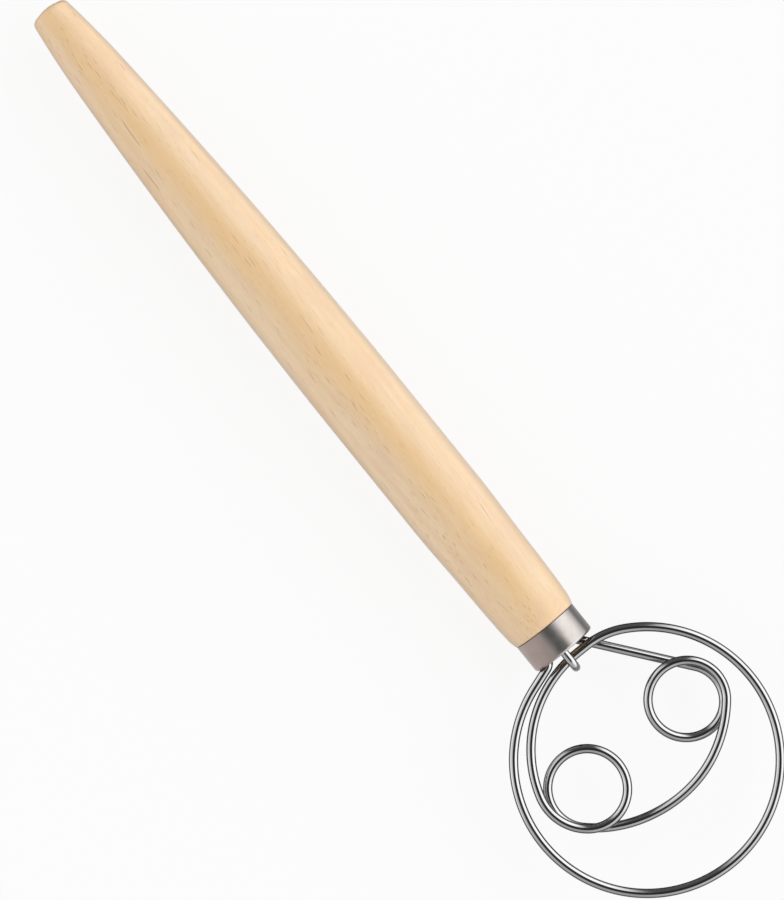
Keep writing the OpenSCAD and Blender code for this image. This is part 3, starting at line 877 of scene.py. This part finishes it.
def make_floor():
    """Wide pale floor under the tool. It reads white and keeps the tool's soft shadow.
    What metal mirrors passes through it and meets the lower half of the surround."""
    half = 4.0
    mesh = bpy.data.meshes.new("floor")
    mesh.from_pydata([(-half, -half, 0), (half, -half, 0), (half, half, 0), (-half, half, 0)],
                     [], [(0, 1, 2, 3)])
    floor = bpy.data.objects.new("floor", mesh)
    bpy.context.scene.collection.objects.link(floor)
    material, tree, shader = new_material("pale floor")
    shader.inputs["Base Color"].default_value = (0.88, 0.88, 0.88, 1.0)
    shader.inputs["Roughness"].default_value = 1.0
    shader.inputs["Specular IOR Level"].default_value = 0.0
    rays = tree.nodes.new("ShaderNodeLightPath").outputs
    glow = tree.add("Emission", (WHITE, 1.0)).outputs[0]
    seen = tree.math("MAXIMUM", rays["Is Camera Ray"], rays["Is Transmission Ray"])
    pale = tree.add("MixShader", (tree.math("MULTIPLY", seen, FLOOR_GLOW),
                                  shader.outputs[0], glow)).outputs[0]
    clear = tree.add("BsdfTransparent", (WHITE,)).outputs[0]
    blend = tree.add("MixShader", (rays["Is Glossy Ray"], pale, clear))
    tree.put(tree.nodes["Material Output"].inputs[0], blend.outputs[0])
    mesh.materials.append(material)


def by_azimuth(tree, share, levels, brightest=1.0):
    """Level read off (azimuth, level) pairs, given the azimuth's share of the turn from
    -180 to 180 degrees. Levels above 1 are divided by the brightest one first."""
    stops = [((azimuth + 180) / 360, level / brightest) for azimuth, level in levels]
    return tree.ramp(share, stops)


def make_surround():
    """Studio light as a soft surround: brightness by azimuth, dark straight overhead
    where the camera stands, and plain white where the camera sees it. The height is the
    arc sine of the direction's Z, and the azimuth the arc tangent of its Y and X."""
    world = bpy.data.worlds.new("studio surround")
    bpy.context.scene.world = world
    world.use_nodes = True
    nodes = world.node_tree.nodes
    nodes.clear()
    tree = Tree(nodes, world.node_tree.links)
    direction = tree.nodes.new("ShaderNodeTexCoord").outputs["Generated"]
    from_right = tree.add("VectorRotate", {"Vector": direction,
                                           "Angle": math.radians(-PICTURE_RIGHT)},
                          rotation_type="Z_AXIS").outputs[0]
    apart = tree.add("SeparateXYZ", (from_right,)).outputs
    azimuth = tree.math("ARCTAN2", apart[1], apart[0])
    share = tree.math("MULTIPLY_ADD", azimuth, 0.5 / math.pi, 0.5)
    height = tree.math("ARCSINE", tree.math("MINIMUM", apart[2], 1.0))

    overhead = tree.between(height, math.radians(56), math.radians(66), 1.0, 0.0)
    skirt = tree.between(height, 0.0, math.radians(16), 0.75, 1.0)
    near_horizon = tree.between(height, math.radians(14), math.radians(30), 1.0, 0.0)
    low = tree.math("MULTIPLY", by_azimuth(tree, share, LOW_GLOW), near_horizon)
    around = by_azimuth(tree, share, AROUND, BRIGHTEST)
    level = tree.math("MULTIPLY_ADD", around, BRIGHTEST, low)
    level = tree.math("MULTIPLY", level, tree.math("MULTIPLY", overhead, skirt))
    level = tree.math("ADD", level, LEAST_LIGHT)

    is_below = tree.math("LESS_THAN", height, 0.0)
    level = tree.add("Mix", (is_below, None, level, by_azimuth(tree, share, BELOW))).outputs[0]
    seen = tree.nodes.new("ShaderNodeLightPath").outputs["Is Camera Ray"]
    level = tree.add("Mix", (seen, None, level, 1.0)).outputs[0]
    background = tree.add("Background", (WHITE, level))
    output = tree.nodes.new("ShaderNodeOutputWorld")
    tree.put(output.inputs[0], background.outputs[0])


def make_camera():
    """Camera straight above, turned so that the handle runs from the picture's upper
    left to its lower right."""
    aim = (3.375 * MM, -1.1 * MM)
    above_axis = 1.031
    right = (*unit(PICTURE_RIGHT), 0)
    up = (*unit(PICTURE_RIGHT + 90), 0)
    lens = bpy.data.cameras.new("camera")
    lens.sensor_width = 36.0
    lens.lens = 132.0
    lens.clip_end = 20.0
    camera = bpy.data.objects.new("camera", lens)
    axes = Matrix((right, up, (0, 0, 1))).transposed().to_4x4()
    axes.translation = (*aim, BELLY_D / 2 * MM + above_axis)
    camera.matrix_world = axes
    bpy.context.scene.collection.objects.link(camera)
    bpy.context.scene.camera = camera


make_floor()
make_surround()
make_camera()
bpy.context.scene.view_settings.view_transform = "Standard"
